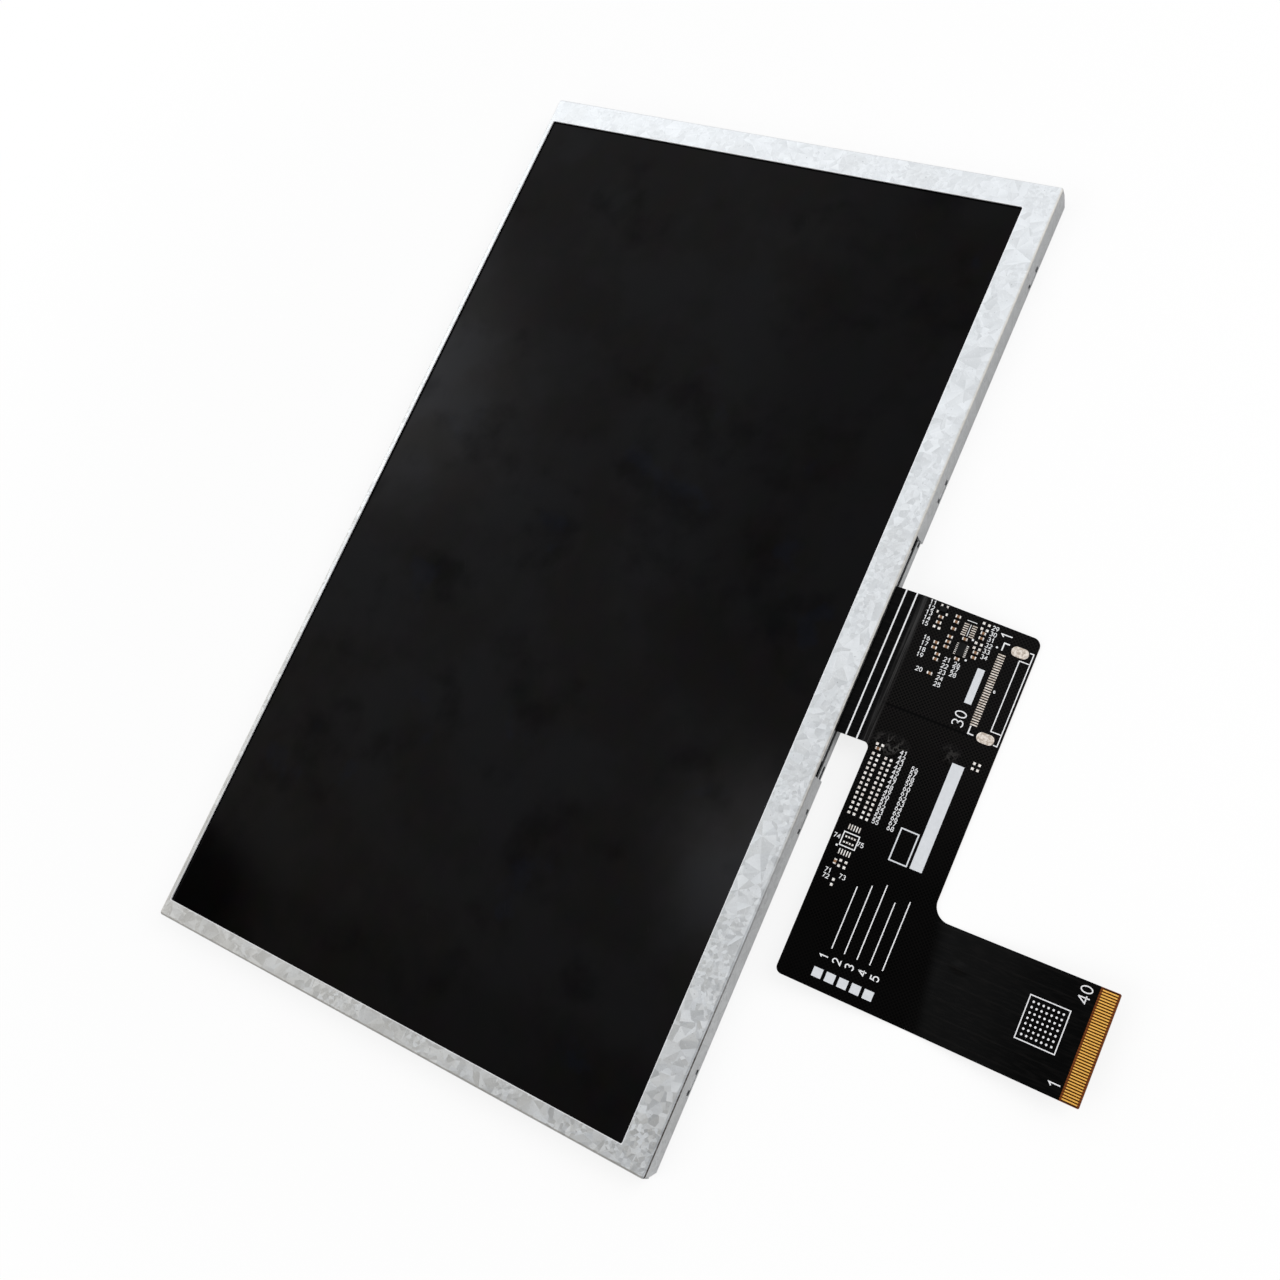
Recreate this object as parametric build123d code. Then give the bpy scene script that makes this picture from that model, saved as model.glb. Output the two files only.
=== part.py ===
from build123d import *

import os
from math import asin, atan2, cos, hypot, radians, sin, tan

os.makedirs("parts", exist_ok=True)

# Whole module, in millimetres, lying on its back. X runs along the long side, Y toward the narrow
# border and Z out of the screen. The origin is the centre of the rear face.
module_length = 211.1
module_width = 126.5
module_depth = 5.9

# How far a cutting block runs past the faces that it cuts.
overrun = 1.0

# Front bezel, one folded steel sheet with a window and four flanges.
bezel_sheet = 0.3
bezel_bend = 0.45
bezel_corner = 0.6
flange_height = 5.2
border_low_x = 3.75
border_high_x = 5.95
border_low_y = 6.55
border_high_y = 1.15
window_corner = 0.4

# Relief at the folded corners.
relief_start = 0.9
relief_slit = 0.45
relief_taper = 2.4
relief_long = 1.45
relief_short = 0.95

# Windows in the flanges, and the lanced tongues of the rear cover that snap into them.
latch_slot_length = 5.1
latch_slot_height = 1.15
latch_edge = 0.5
latch_tongue = 3.1
latch_tip_inset = 0.05
latch_tip_gap = 0.1
latch_clear = 0.25
latch_end_inset = 18.9
latch_past_exit_high = 11.3
latch_past_exit_low = 8.6
latch_short_inset = 28.0

# Gap in the flange where the flexible circuit leaves.
exit_low = 25.4
exit_high = 26.0
exit_lip = 0.9
exit_relief_lip = 0.5
exit_notch = 3.2
exit_wall_top = 2.5
exit_bar = 0.75
exit_slot_low = 0.8
exit_slot_long = 2.9
exit_slot_short = 1.1
exit_recess = 1.0
exit_recess_floor = 0.9

# Rear cover, a folded steel tray inside the bezel.
cover_sheet = 0.3
cover_gap = 0.15
cover_bend = 0.5
cover_corner = 0.6
cover_wall_top = 3.7
cover_slit = 0.35

# Moulded frame inside the tray.
frame_gap = 0.1
frame_chamfer = 0.3
frame_rim_gap = 0.3
frame_rim_drop = 0.3

# Screen: active area, polarisers and the two glasses.
active_inset_x = 2.3
active_inset_y = 2.25
polarizer_sheet = 0.2
glass_sheet = 0.5
polarizer_overlap = 0.4
filter_margin = 0.2
source_ledge = 4.2
gate_ledge = 3.0
rear_polarizer_margin = 2.0

# Driver chips on the ledges of the array glass.
driver_width = 1.1
driver_height = 0.3
source_driver_length = 28.0
source_driver_x = 46.0
source_driver_inset = 0.9
gate_driver_length = 18.0
gate_driver_y = 8.0

# Backlight sheets, tape and guide.
reflector_sheet = 0.2
guide_sheet = 2.5
lower_diffuser_sheet = 0.25
prism_sheet = 0.2
upper_diffuser_sheet = 0.2
tape_sheet = 0.1
tape_margin = 0.7
film_margin = 1.2
film_gap = 0.2
guide_lip = 1.4

# Lamps and their strip.
lamp_count = 27
lamp_length = 3.5
lamp_depth = 1.4
lamp_height = 1.8
lamp_pocket = 0.3
lamp_wall = 0.25
lamp_gap = 0.1
strip_sheet = 0.2
strip_height = 2.3
strip_margin = 1.5
strip_clear = 0.1
strip_tail_offset = 9.0
strip_tail_width = 6.0
strip_tail_sheet = 0.12
strip_tail_rise = 0.5
strip_tail_reach = 6.0
strip_tail_bend = 0.8

# Flexible circuit: three films, an L-shaped plan and a gently bent side profile.
core_film = 0.08
upper_film = 0.06
lower_film = 0.06
neck_width = 31.0
neck_offset = 0.25
bond_overlap = 1.45
body_gap = 7.15
body_reach = 29.3
body_taper = 0.6
tail_width = 20.5
tail_offset = 51.55
tail_reach = 65.35
neck_fillet = 1.2
body_corner = 1.6
arm_corner = 1.3
tail_fillet = 3.3
tail_corner = 0.3
crease_reach = 6.4
crease_radius = 2.0
low_reach = 32.75
curl_radius = 20.0
tail_rise = 8.5

# Contact end of the tail.
finger_count = 40
finger_pitch = 0.5
finger_width = 0.33
finger_length = 2.8
finger_margin = 0.4
bare_length = 3.6
metal_sheet = 0.03
stiffener_sheet = 0.2
stiffener_length = 7.5

# Unused connector footprint on the body.
land_count = 30
land_pitch = 0.5
land_width = 0.28
land_length = 1.4
land_row_reach = 23.45
land_row_centre = 2.04
anchor_length = 3.4
anchor_width = 2.0
anchor_reach = 26.35
anchor_step = 1.65

# Placing of parts on the body, in steps of a fine grid. A row's key is its reach from the module's
# edge, and its values are the parts' distances from the neck's edge.
place_grid = 0.05
chip_rows = {
    207: (63, 86),
    227: (163, 184),
    248: (204, 225, 284),
    267: (38, 60, 89, 123, 144, 165),
    321: (112, 195),
    376: (66, 87, 147, 168),
}
spare_rows = {
    196: (105,),
    211: (1070, 1091),
    213: (1146, 1166),
    216: (106,),
    232: (1071, 1091),
    364: (26, 49, 109, 129),
    385: (28, 50, 110, 130),
    524: (544, 565),
    544: (544, 565),
}

# Chip parts.
chip_length = 1.0
chip_width = 0.52
chip_height = 0.42
chip_end = 0.24
chip_end_lap = 0.02
arm_chip_reach = 8.98
arm_chip_step = 31.35
turned_chip_reach = 9.68
turned_chip_step = 54.07

# Small square lands without parts.
square_land = 0.5
land_grid_pitch = 1.007
land_grid_near = 30.47
land_grid_near_rows = 15
land_grid_near_reach = 8.5
land_grid_far = 32.52
land_grid_far_rows = 13
land_grid_far_reach = 10.98
land_grid_pair = 1.05

# Footprint of a memory chip and of a small converter.
memory_count = 5
memory_pitch = 0.51
memory_width = 0.22
memory_length = 1.05
memory_reach = 10.63
memory_step = 49.5
memory_span = 4.92
memory_inner_count = 4
memory_inner_pitch = 0.56
memory_inner_span = 1.09
memory_inner_land = 0.34
converter_count = 6
converter_pitch = 0.45
converter_width = 0.2
converter_length = 0.95
converter_step = 3.7
converter_reach = 16.13
converter_span = 1.58

# Small packages with leads.
bias_length = 2.6
bias_width = 1.5
bias_height = 0.55
bias_step = 7.8
bias_reach = 16.14
bias_lead_count = 7
bias_lead_pitch = 0.36
bias_lead_width = 0.18
bias_lead_length = 0.42
switch_length = 0.95
switch_width = 1.3
switch_height = 0.5
switch_step = 1.57
switch_reach = 10.27
switch_lead_width = 0.36
switch_lead_length = 0.5
switch_lead_near = 1.1
switch_lead_far = 1.86
lead_sheet = 0.12


def slab(x0, x1, y0, y1, z0, z1):
    """Box between two corners."""
    return Pos((x0 + x1) / 2, (y0 + y1) / 2, (z0 + z1) / 2) * Box(x1 - x0, y1 - y0, z1 - z0)


def pan(half_x, half_y, z0, z1, sheet, corner, bend, open_down):
    """Thin tray with bent edges, open below or above."""
    shapes = []
    for inset in (0, sheet):
        low = z0 - overrun if open_down and inset else z0
        high = z1 + overrun if inset and not open_down else z1
        if open_down:
            high = high - inset
        else:
            low = low + inset
        block = slab(inset - half_x, half_x - inset, inset - half_y, half_y - inset, low, high)
        block = fillet(block.edges().filter_by(Axis.Z), corner - inset)
        flat = block.faces().sort_by(Axis.Z)[-1 if open_down else 0]
        shapes.append(fillet(flat.edges(), bend - inset))
    return shapes[0] - shapes[1]


def upright(points, start, end):
    """Prism along Y whose section is given in X and Z."""
    face = make_face(Polyline(*points, close=True))
    return extrude(Plane.XZ.offset(-start) * face, amount=start - end)


def across(points, start, end):
    """Prism along X whose section is given in Y and Z."""
    face = make_face(Polyline(*points, close=True))
    return extrude(Plane.YZ.offset(start) * face, amount=end - start)


# Heights of the layers, from the rear face up.
half_length = module_length / 2
half_width = module_width / 2
exit_low_x = -exit_low
exit_high_x = exit_high
flange_low = module_depth - flange_height
reflector_z = cover_sheet
guide_z = reflector_z + reflector_sheet
lower_diffuser_z = guide_z + guide_sheet
lower_prism_z = lower_diffuser_z + lower_diffuser_sheet
upper_prism_z = lower_prism_z + prism_sheet
upper_diffuser_z = upper_prism_z + prism_sheet
tape_z = upper_diffuser_z + upper_diffuser_sheet
rear_polarizer_z = tape_z + tape_sheet
array_z = rear_polarizer_z + polarizer_sheet
filter_z = array_z + glass_sheet
front_polarizer_z = filter_z + glass_sheet
screen_z = front_polarizer_z + polarizer_sheet

# Window and screen edges.
window_x0 = border_low_x - half_length
window_x1 = half_length - border_high_x
window_y0 = border_low_y - half_width
window_y1 = half_width - border_high_y
active_x0 = window_x0 + active_inset_x
active_x1 = window_x1 - active_inset_x
active_y0 = window_y0 + active_inset_y
active_y1 = window_y1 - active_inset_y
filter_edge = polarizer_overlap + filter_margin
array_x0 = window_x0 - filter_edge
array_x1 = window_x1 + filter_edge + gate_ledge
array_y0 = window_y0 - filter_edge - source_ledge
array_y1 = window_y1 + filter_edge

# Latch places along each flange, as angle about Z, distance of the flange and places along it.
latch_low = flange_low + latch_edge
latch_high = latch_low + latch_slot_height
long_places = (
    half_length - latch_end_inset,
    exit_high_x + latch_past_exit_high,
    exit_low_x - latch_past_exit_low,
    latch_end_inset - half_length,
)
short_places = (half_width - latch_short_inset, latch_short_inset - half_width)
latch_sides = (
    (0, half_width, long_places),
    (180, half_width, tuple(-x for x in long_places)),
    (90, half_length, short_places),
    (270, half_length, short_places),
)

# Front bezel.
bezel = pan(
    half_length, half_width, flange_low, module_depth, bezel_sheet, bezel_corner, bezel_bend, True
)
window = slab(window_x0, window_x1, window_y0, window_y1, filter_z, module_depth + overrun)
bezel -= fillet(window.edges().filter_by(Axis.Z), window_corner)
relief_x = half_length - bezel_sheet
long_relief = [
    (relief_x, module_depth - relief_start),
    (half_length - relief_slit, module_depth - relief_start),
    (half_length - relief_slit, module_depth - relief_taper),
    (half_length - relief_long, flange_low),
    (half_length - relief_long, flange_low - overrun),
    (relief_x, flange_low - overrun),
]
short_relief = [
    (half_width + overrun, module_depth - relief_taper),
    (half_width, module_depth - relief_taper),
    (half_width - relief_short, flange_low),
    (half_width - relief_short, flange_low - overrun),
    (half_width + overrun, flange_low - overrun),
]
long_cut = upright(long_relief, half_width - 2 * bezel_sheet, half_width + overrun)
short_cut = across(short_relief, half_length - 2 * bezel_sheet, half_length + overrun)
for cut in (long_cut, short_cut):
    for piece in (cut, mirror(cut, about=Plane.YZ)):
        bezel -= piece
        bezel -= mirror(piece, about=Plane.XZ)
exit_spans = (
    (exit_low_x, exit_high_x, exit_lip),
    (exit_low_x, exit_low_x + exit_notch, exit_relief_lip),
    (exit_high_x - exit_notch, exit_high_x, exit_relief_lip),
)
for x0, x1, lip in exit_spans:
    bezel -= slab(
        x0,
        x1,
        -half_width - overrun,
        2 * bezel_sheet - half_width,
        flange_low - overrun,
        module_depth - lip,
    )
for angle, distance, places in latch_sides:
    slot = slab(
        -latch_slot_length / 2,
        latch_slot_length / 2,
        -distance - overrun,
        2 * bezel_sheet - distance,
        latch_low,
        latch_high,
    )
    for place in places:
        bezel -= Rot(0, 0, angle) * Pos(place, 0, 0) * slot

# Rear cover.
wall_inset = bezel_sheet + cover_gap
cover_half_x = half_length - wall_inset
cover_half_y = half_width - wall_inset
cover = pan(
    cover_half_x, cover_half_y, 0, cover_wall_top, cover_sheet, cover_corner, cover_bend, False
)
slit_x1 = cover_half_x - cover_sheet
slit = slab(
    slit_x1 - cover_slit,
    slit_x1,
    cover_half_y - 2 * cover_sheet,
    cover_half_y + overrun,
    cover_bend + cover_sheet,
    cover_wall_top + overrun,
)
for piece in (slit, mirror(slit, about=Plane.YZ)):
    cover -= piece
    cover -= mirror(piece, about=Plane.XZ)
hole_high = latch_high + latch_clear
tip_low = latch_low + latch_tip_gap
for angle, distance, places in latch_sides:
    hole = slab(
        -latch_slot_length / 2 - latch_clear,
        latch_slot_length / 2 + latch_clear,
        -distance - overrun,
        wall_inset + 2 * cover_sheet - distance,
        latch_low - latch_clear,
        hole_high,
    )
    section = [
        (wall_inset - distance, hole_high),
        (wall_inset + cover_sheet - distance, hole_high),
        (latch_tip_inset + cover_sheet - distance, tip_low),
        (latch_tip_inset - distance, tip_low),
    ]
    tongue = across(section, -latch_tongue / 2, latch_tongue / 2)
    for place in places:
        seat = Rot(0, 0, angle) * Pos(place, 0, 0)
        cover = cover - seat * hole + seat * tongue
wall_y0 = -half_width - overrun
wall_y1 = 2 * cover_sheet - cover_half_y
cover -= slab(exit_low_x, exit_high_x, wall_y0, wall_y1, exit_wall_top, cover_wall_top + overrun)
exit_slots = (
    (exit_low_x, exit_low_x + exit_slot_long),
    (exit_high_x - exit_slot_short, exit_high_x),
)
for x0, x1 in exit_slots:
    cover -= slab(x0, x1, wall_y0, wall_y1, exit_slot_low, exit_wall_top - exit_bar)

# Openings in the frame for the sheets, and for the guide with its lamps.
opening_edge = film_margin + film_gap
open_x0 = active_x0 - opening_edge
open_x1 = active_x1 + opening_edge
open_y0 = active_y0 - opening_edge
open_y1 = active_y1 + opening_edge
guide_y0 = open_y0 - guide_lip
lamp_y1 = guide_y0 - lamp_gap
lamp_y0 = lamp_y1 - lamp_depth
strip_y0 = lamp_y0 - strip_sheet
well_y0 = strip_y0 - strip_clear

# Moulded frame.
frame_half_x = cover_half_x - cover_sheet - frame_gap
frame_half_y = cover_half_y - cover_sheet - frame_gap
frame_rim_top = module_depth - bezel_sheet - frame_rim_drop
frame = slab(-frame_half_x, frame_half_x, -frame_half_y, frame_half_y, cover_sheet, frame_rim_top)
frame = chamfer(frame.faces().sort_by(Axis.Z)[0].edges(), frame_chamfer)
frame -= slab(
    array_x0 - frame_rim_gap,
    array_x1 + frame_rim_gap,
    array_y0 - frame_rim_gap,
    half_width,
    tape_z,
    frame_rim_top + overrun,
)
frame -= slab(open_x0, open_x1, open_y0, open_y1, cover_sheet - overrun, tape_z + overrun)
frame -= slab(open_x0, open_x1, well_y0, open_y1, cover_sheet - overrun, lower_diffuser_z)
frame -= slab(
    exit_low_x,
    exit_high_x,
    -half_width,
    exit_recess - frame_half_y,
    exit_recess_floor,
    frame_rim_top + overrun,
)
tail_half = strip_tail_width / 2
strip_tail_x = -strip_tail_offset
tail_slot_x0 = strip_tail_x - tail_half - strip_clear
tail_slot_x1 = strip_tail_x + tail_half + strip_clear
frame -= slab(
    tail_slot_x0,
    tail_slot_x1,
    -half_width,
    lamp_y1,
    lower_diffuser_z - 2 * strip_clear,
    tape_z + overrun,
)

# Sheets of the backlight.
film_x0 = active_x0 - film_margin
film_x1 = active_x1 + film_margin
film_y0 = active_y0 - film_margin
film_y1 = active_y1 + film_margin
reflector = slab(film_x0, film_x1, lamp_y1, film_y1, reflector_z, guide_z)
guide = slab(film_x0, film_x1, guide_y0, film_y1, guide_z, lower_diffuser_z)
lower_diffuser = slab(film_x0, film_x1, film_y0, film_y1, lower_diffuser_z, lower_prism_z)
lower_prism = slab(film_x0, film_x1, film_y0, film_y1, lower_prism_z, upper_prism_z)
upper_prism = slab(film_x0, film_x1, film_y0, film_y1, upper_prism_z, upper_diffuser_z)
upper_diffuser = slab(film_x0, film_x1, film_y0, film_y1, upper_diffuser_z, tape_z)

# Tape and screen.
rear_x0 = active_x0 - rear_polarizer_margin
rear_x1 = active_x1 + rear_polarizer_margin
rear_y0 = active_y0 - rear_polarizer_margin
rear_y1 = active_y1 + rear_polarizer_margin
tape = slab(rear_x0, rear_x1, rear_y0, rear_y1, tape_z, rear_polarizer_z) - slab(
    active_x0 - tape_margin,
    active_x1 + tape_margin,
    active_y0 - tape_margin,
    active_y1 + tape_margin,
    tape_z - overrun,
    rear_polarizer_z + overrun,
)
rear_polarizer = slab(rear_x0, rear_x1, rear_y0, rear_y1, rear_polarizer_z, array_z)
array_glass = slab(array_x0, array_x1, array_y0, array_y1, array_z, filter_z)
filter_glass = slab(
    window_x0 - filter_edge,
    window_x1 + filter_edge,
    window_y0 - filter_edge,
    window_y1 + filter_edge,
    filter_z,
    front_polarizer_z,
)
front_polarizer = slab(
    window_x0 - polarizer_overlap,
    window_x1 + polarizer_overlap,
    window_y0 - polarizer_overlap,
    window_y1 + polarizer_overlap,
    front_polarizer_z,
    screen_z,
)

# Driver chips.
driver_y1 = window_y0 - filter_edge - source_driver_inset
source_drivers = []
for x in (-source_driver_x, source_driver_x):
    source_drivers.append(
        slab(
            x - source_driver_length / 2,
            x + source_driver_length / 2,
            driver_y1 - driver_width,
            driver_y1,
            filter_z,
            filter_z + driver_height,
        )
    )
gate_x = array_x1 - gate_ledge / 2
gate_driver = slab(
    gate_x - driver_width / 2,
    gate_x + driver_width / 2,
    gate_driver_y - gate_driver_length / 2,
    gate_driver_y + gate_driver_length / 2,
    filter_z,
    filter_z + driver_height,
)

# Lamps, each with a shallow pocket toward the guide, and the strip that carries them.
lamp_z = guide_z + guide_sheet / 2
lamp_step = (active_x1 - active_x0) / lamp_count
lamp_box = Box(lamp_length, lamp_depth, lamp_height)
pocket = Box(lamp_length - 2 * lamp_wall, 2 * lamp_pocket, lamp_height - 2 * lamp_wall)
lamp = lamp_box - Pos(0, lamp_depth / 2, 0) * pocket
lamps = []
for i in range(lamp_count):
    lamps.append(Pos(active_x0 + lamp_step * (i + 0.5), (lamp_y0 + lamp_y1) / 2, lamp_z) * lamp)
strip_z0 = lamp_z - strip_height / 2
strip_z1 = lamp_z + strip_height / 2
strip = slab(
    film_x0 + strip_margin, film_x1 - strip_margin, strip_y0, lamp_y0, strip_z0, strip_z1
)

# Side profile of the flexible circuit: flat over the ledge, down to the ground, then up again.
crease_y = -half_width - crease_reach
low_y = -half_width - low_reach
fall_y = low_y - crease_y
fall_z = lower_film + curl_radius - filter_z
fall = asin(curl_radius / hypot(fall_y, fall_z)) - atan2(fall_z, -fall_y)
rise = radians(tail_rise)
turn_z = lower_film + curl_radius - curl_radius * cos((fall - rise) / 2) / cos((fall + rise) / 2)
turn_y = low_y + curl_radius * sin((fall - rise) / 2) / cos((fall + rise) / 2)
tail_end_y = -half_width - tail_reach
bond_y = array_y0 + bond_overlap
side_run = turn_y - tail_end_y + module_depth
side_line = (
    (bond_y + overrun, filter_z),
    (crease_y, filter_z),
    (turn_y, turn_z),
    (turn_y - side_run, turn_z + side_run * tan(rise)),
)
up_flat = (0, 1)
up_fall = (-sin(fall), cos(fall))
up_rise = (sin(rise), cos(rise))


def shifted(offset):
    """Corners of the side profile moved square to its faces."""
    moved = [(side_line[0][0], side_line[0][1] + offset)]
    for point, a, b in ((side_line[1], up_flat, up_fall), (side_line[2], up_fall, up_rise)):
        share = offset / (1 + a[0] * b[0] + a[1] * b[1])
        moved.append((point[0] + share * (a[0] + b[0]), point[1] + share * (a[1] + b[1])))
    last = side_line[3]
    moved.append((last[0] + offset * up_rise[0], last[1] + offset * up_rise[1]))
    return moved


def bent(low, high):
    """Bent sheet between two offsets from the side profile, wider than the circuit."""
    under = shifted(low)
    over = shifted(high)
    lower_edge = FilletPolyline(*under, radius=[crease_radius + low, curl_radius - low])
    upper_edge = FilletPolyline(*over, radius=[crease_radius + high, curl_radius - high])
    ends = [Line(under[0], over[0]), Line(under[-1], over[-1])]
    face = make_face(lower_edge.edges() + upper_edge.edges() + [e.edge() for e in ends])
    return extrude(Plane.YZ.offset(-module_length / 2) * face, amount=module_length)


def rounded(face, point, radius):
    """Face with the corner nearest to a point rounded."""
    corner = min(face.vertices(), key=lambda v: hypot(v.X - point[0], v.Y - point[1]))
    return fillet(corner, radius)


# Plan of the flexible circuit.
neck_x0 = -neck_offset - neck_width / 2
neck_x1 = neck_width / 2 - neck_offset
tail_centre = -tail_offset
tail_x0 = tail_centre - tail_width / 2
tail_x1 = tail_centre + tail_width / 2
body_y1 = -half_width - body_gap
body_y0 = -half_width - body_reach
plan_points = [
    (neck_x1, bond_y),
    (neck_x0, bond_y),
    (neck_x0, body_y1),
    (tail_x0, body_y1),
    (tail_x0, tail_end_y),
    (tail_x1, tail_end_y),
    (tail_x1, body_y0),
    (neck_x1 - body_taper, body_y0),
]
plan = make_face(Polyline(*plan_points, close=True))
plan = rounded(plan, (neck_x0, body_y1), neck_fillet)
plan = rounded(plan, (tail_x0, body_y1), arm_corner)
plan = rounded(plan, (tail_x0, tail_end_y), tail_corner)
plan = rounded(plan, (tail_x1, tail_end_y), tail_corner)
plan = rounded(plan, (tail_x1, body_y0), tail_fillet)
plan = rounded(plan, (neck_x1 - body_taper, body_y0), body_corner)
tall = 4 * module_depth
plan_block = extrude(Pos(0, 0, -overrun) * plan, amount=tall)

bare_y = tail_end_y + bare_length
stiffener_y = tail_end_y + stiffener_length
core = bent(0, core_film) & plan_block
upper_cover = bent(core_film, core_film + upper_film) & plan_block
upper_cover -= slab(-module_length, module_length, tail_end_y - overrun, bare_y, -overrun, tall)
upper_cover -= slab(-module_length, module_length, array_y0 + bond_overlap / 2, half_width, -overrun, tall)
lower_cover = bent(-lower_film, 0) & plan_block
lower_cover -= slab(-module_length, module_length, tail_end_y - overrun, stiffener_y, -overrun, tall)
lower_cover -= slab(-module_length, module_length, array_y0 - frame_rim_gap, half_width, -overrun, tall)
stiffener = bent(-stiffener_sheet, 0) & plan_block
stiffener &= slab(tail_x0 - overrun, tail_x1 + overrun, tail_end_y - overrun, stiffener_y, -overrun, tall)

# Tail of the lamp strip: up, out through the gap, and flat against the neck's underside.
leave_z = strip_z1 + strip_tail_rise
under_z = filter_z - lower_film - strip_tail_sheet
leave_y = -half_width - strip_tail_sheet
join_y = leave_y - 2 * (under_z - leave_z)
end_y = -half_width - strip_tail_reach
tail_line = [
    (strip_y0, strip_z1 - strip_tail_rise),
    (strip_y0, leave_z),
    (leave_y, leave_z),
    (join_y, under_z),
    (end_y, under_z),
]
climb = atan2(under_z - leave_z, leave_y - join_y)
half_climb = strip_tail_sheet * tan(climb / 2)
tail_back = [
    (tail_line[0][0] + strip_tail_sheet, tail_line[0][1]),
    (tail_line[1][0] + strip_tail_sheet, leave_z + strip_tail_sheet),
    (leave_y + half_climb, leave_z + strip_tail_sheet),
    (join_y + half_climb, under_z + strip_tail_sheet),
    (end_y, under_z + strip_tail_sheet),
]
inner_bend = strip_tail_bend / 2
inner_radii = [inner_bend, strip_tail_bend + strip_tail_sheet, strip_tail_bend]
outer_radii = [
    inner_bend + strip_tail_sheet,
    strip_tail_bend,
    strip_tail_bend + strip_tail_sheet,
]
tail_inside = FilletPolyline(*tail_line, radius=inner_radii)
tail_outside = FilletPolyline(*tail_back, radius=outer_radii)
tail_ends = [Line(tail_line[0], tail_back[0]), Line(tail_line[-1], tail_back[-1])]
tail_face = make_face(
    tail_inside.edges() + tail_outside.edges() + [e.edge() for e in tail_ends]
)
strip_tail = extrude(
    Plane.YZ.offset(strip_tail_x - tail_half) * tail_face, amount=strip_tail_width
)
strip += strip_tail


def on_body(step, reach):
    """Seat on the sloping body, by its steps from the neck's edge and the module's edge."""
    y = -half_width - reach
    crease = shifted(core_film + upper_film)[1]
    z = crease[1] + (y - crease[0]) * tan(fall)
    return Plane(origin=(neck_x1 - step, y, z), x_dir=(1, 0, 0), z_dir=(0, *up_fall))


def on_tail(x, y):
    """Seat on the bare core near the tail's end."""
    turn = shifted(core_film)[2]
    z = turn[1] + (turn[0] - y) * tan(rise)
    return Plane(origin=(x, y, z), x_dir=(1, 0, 0), z_dir=(0, *up_rise))


def plate(length_x, length_y, height):
    """Block standing on its seat."""
    return Pos(0, 0, height / 2) * Box(length_x, length_y, height)


# Contact fingers.
fingers = []
for i in range(finger_count):
    x = tail_centre + (i - (finger_count - 1) / 2) * finger_pitch
    seat = on_tail(x, tail_end_y + finger_margin + finger_length / 2)
    fingers.append(seat * plate(finger_width, finger_length, metal_sheet))

# Connector footprint.
row_step = neck_x1 - land_row_centre
connector_lands = []
for i in range(land_count):
    step = row_step + (i - (land_count - 1) / 2) * land_pitch
    connector_lands.append(on_body(step, land_row_reach) * plate(land_width, land_length, metal_sheet))
anchor_face = Rot(0, 0, 90) * SlotOverall(anchor_length, anchor_width)
anchor_land = extrude(anchor_face, amount=metal_sheet)
anchor_offset = (land_count - 1) / 2 * land_pitch + anchor_step
anchors = []
for side in (-1, 1):
    anchors.append(on_body(row_step + side * anchor_offset, anchor_reach) * anchor_land)

# Chip parts: a ceramic middle between two metal ends.
middle_length = chip_length - 2 * chip_end
middle = plate(chip_width - 2 * chip_end_lap, middle_length, chip_height - chip_end_lap)
cap = plate(chip_width, chip_end, chip_height)
cap_shift = (chip_length - chip_end) / 2
chip_seats = []
for reach, steps in chip_rows.items():
    for step in steps:
        chip_seats.append(on_body(step * place_grid, reach * place_grid))
chip_seats.append(on_body(arm_chip_step, arm_chip_reach))
chip_seats.append(on_body(turned_chip_step, turned_chip_reach) * Rot(0, 0, 90))
chips = [seat * middle for seat in chip_seats]
chip_ends = []
for seat in chip_seats:
    for side in (-1, 1):
        chip_ends.append(seat * Pos(0, side * cap_shift, 0) * cap)

# Square lands: two paired columns along the arm and a few loose ones.
square = plate(square_land, square_land, metal_sheet)
square_lands = []
grids = (
    (land_grid_near, land_grid_near_rows, land_grid_near_reach),
    (land_grid_far, land_grid_far_rows, land_grid_far_reach),
)
for first, rows, reach in grids:
    for i in range(rows):
        step = first + i * land_grid_pitch
        if abs(step - arm_chip_step) < land_grid_pitch / 2 and reach == land_grid_near_reach:
            continue
        for column in (0, land_grid_pair):
            square_lands.append(on_body(step, reach + column) * square)
for reach, steps in spare_rows.items():
    for step in steps:
        square_lands.append(on_body(step * place_grid, reach * place_grid) * square)

# Footprints without a chip.
memory_lands = []
for side in (-1, 1):
    for i in range(memory_count):
        reach = memory_reach + (i - (memory_count - 1) / 2) * memory_pitch
        seat = on_body(memory_step + side * memory_span / 2, reach)
        memory_lands.append(seat * plate(memory_length, memory_width, metal_sheet))
    for i in range(memory_inner_count):
        reach = memory_reach + (i - (memory_inner_count - 1) / 2) * memory_inner_pitch
        seat = on_body(memory_step + side * memory_inner_span / 2, reach)
        memory_lands.append(seat * plate(memory_inner_land, memory_inner_land, metal_sheet))
converter_lands = []
for side in (-1, 1):
    for i in range(converter_count):
        step = converter_step + (i - (converter_count - 1) / 2) * converter_pitch
        seat = on_body(step, converter_reach + side * converter_span / 2)
        converter_lands.append(seat * plate(converter_width, converter_length, metal_sheet))

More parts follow.
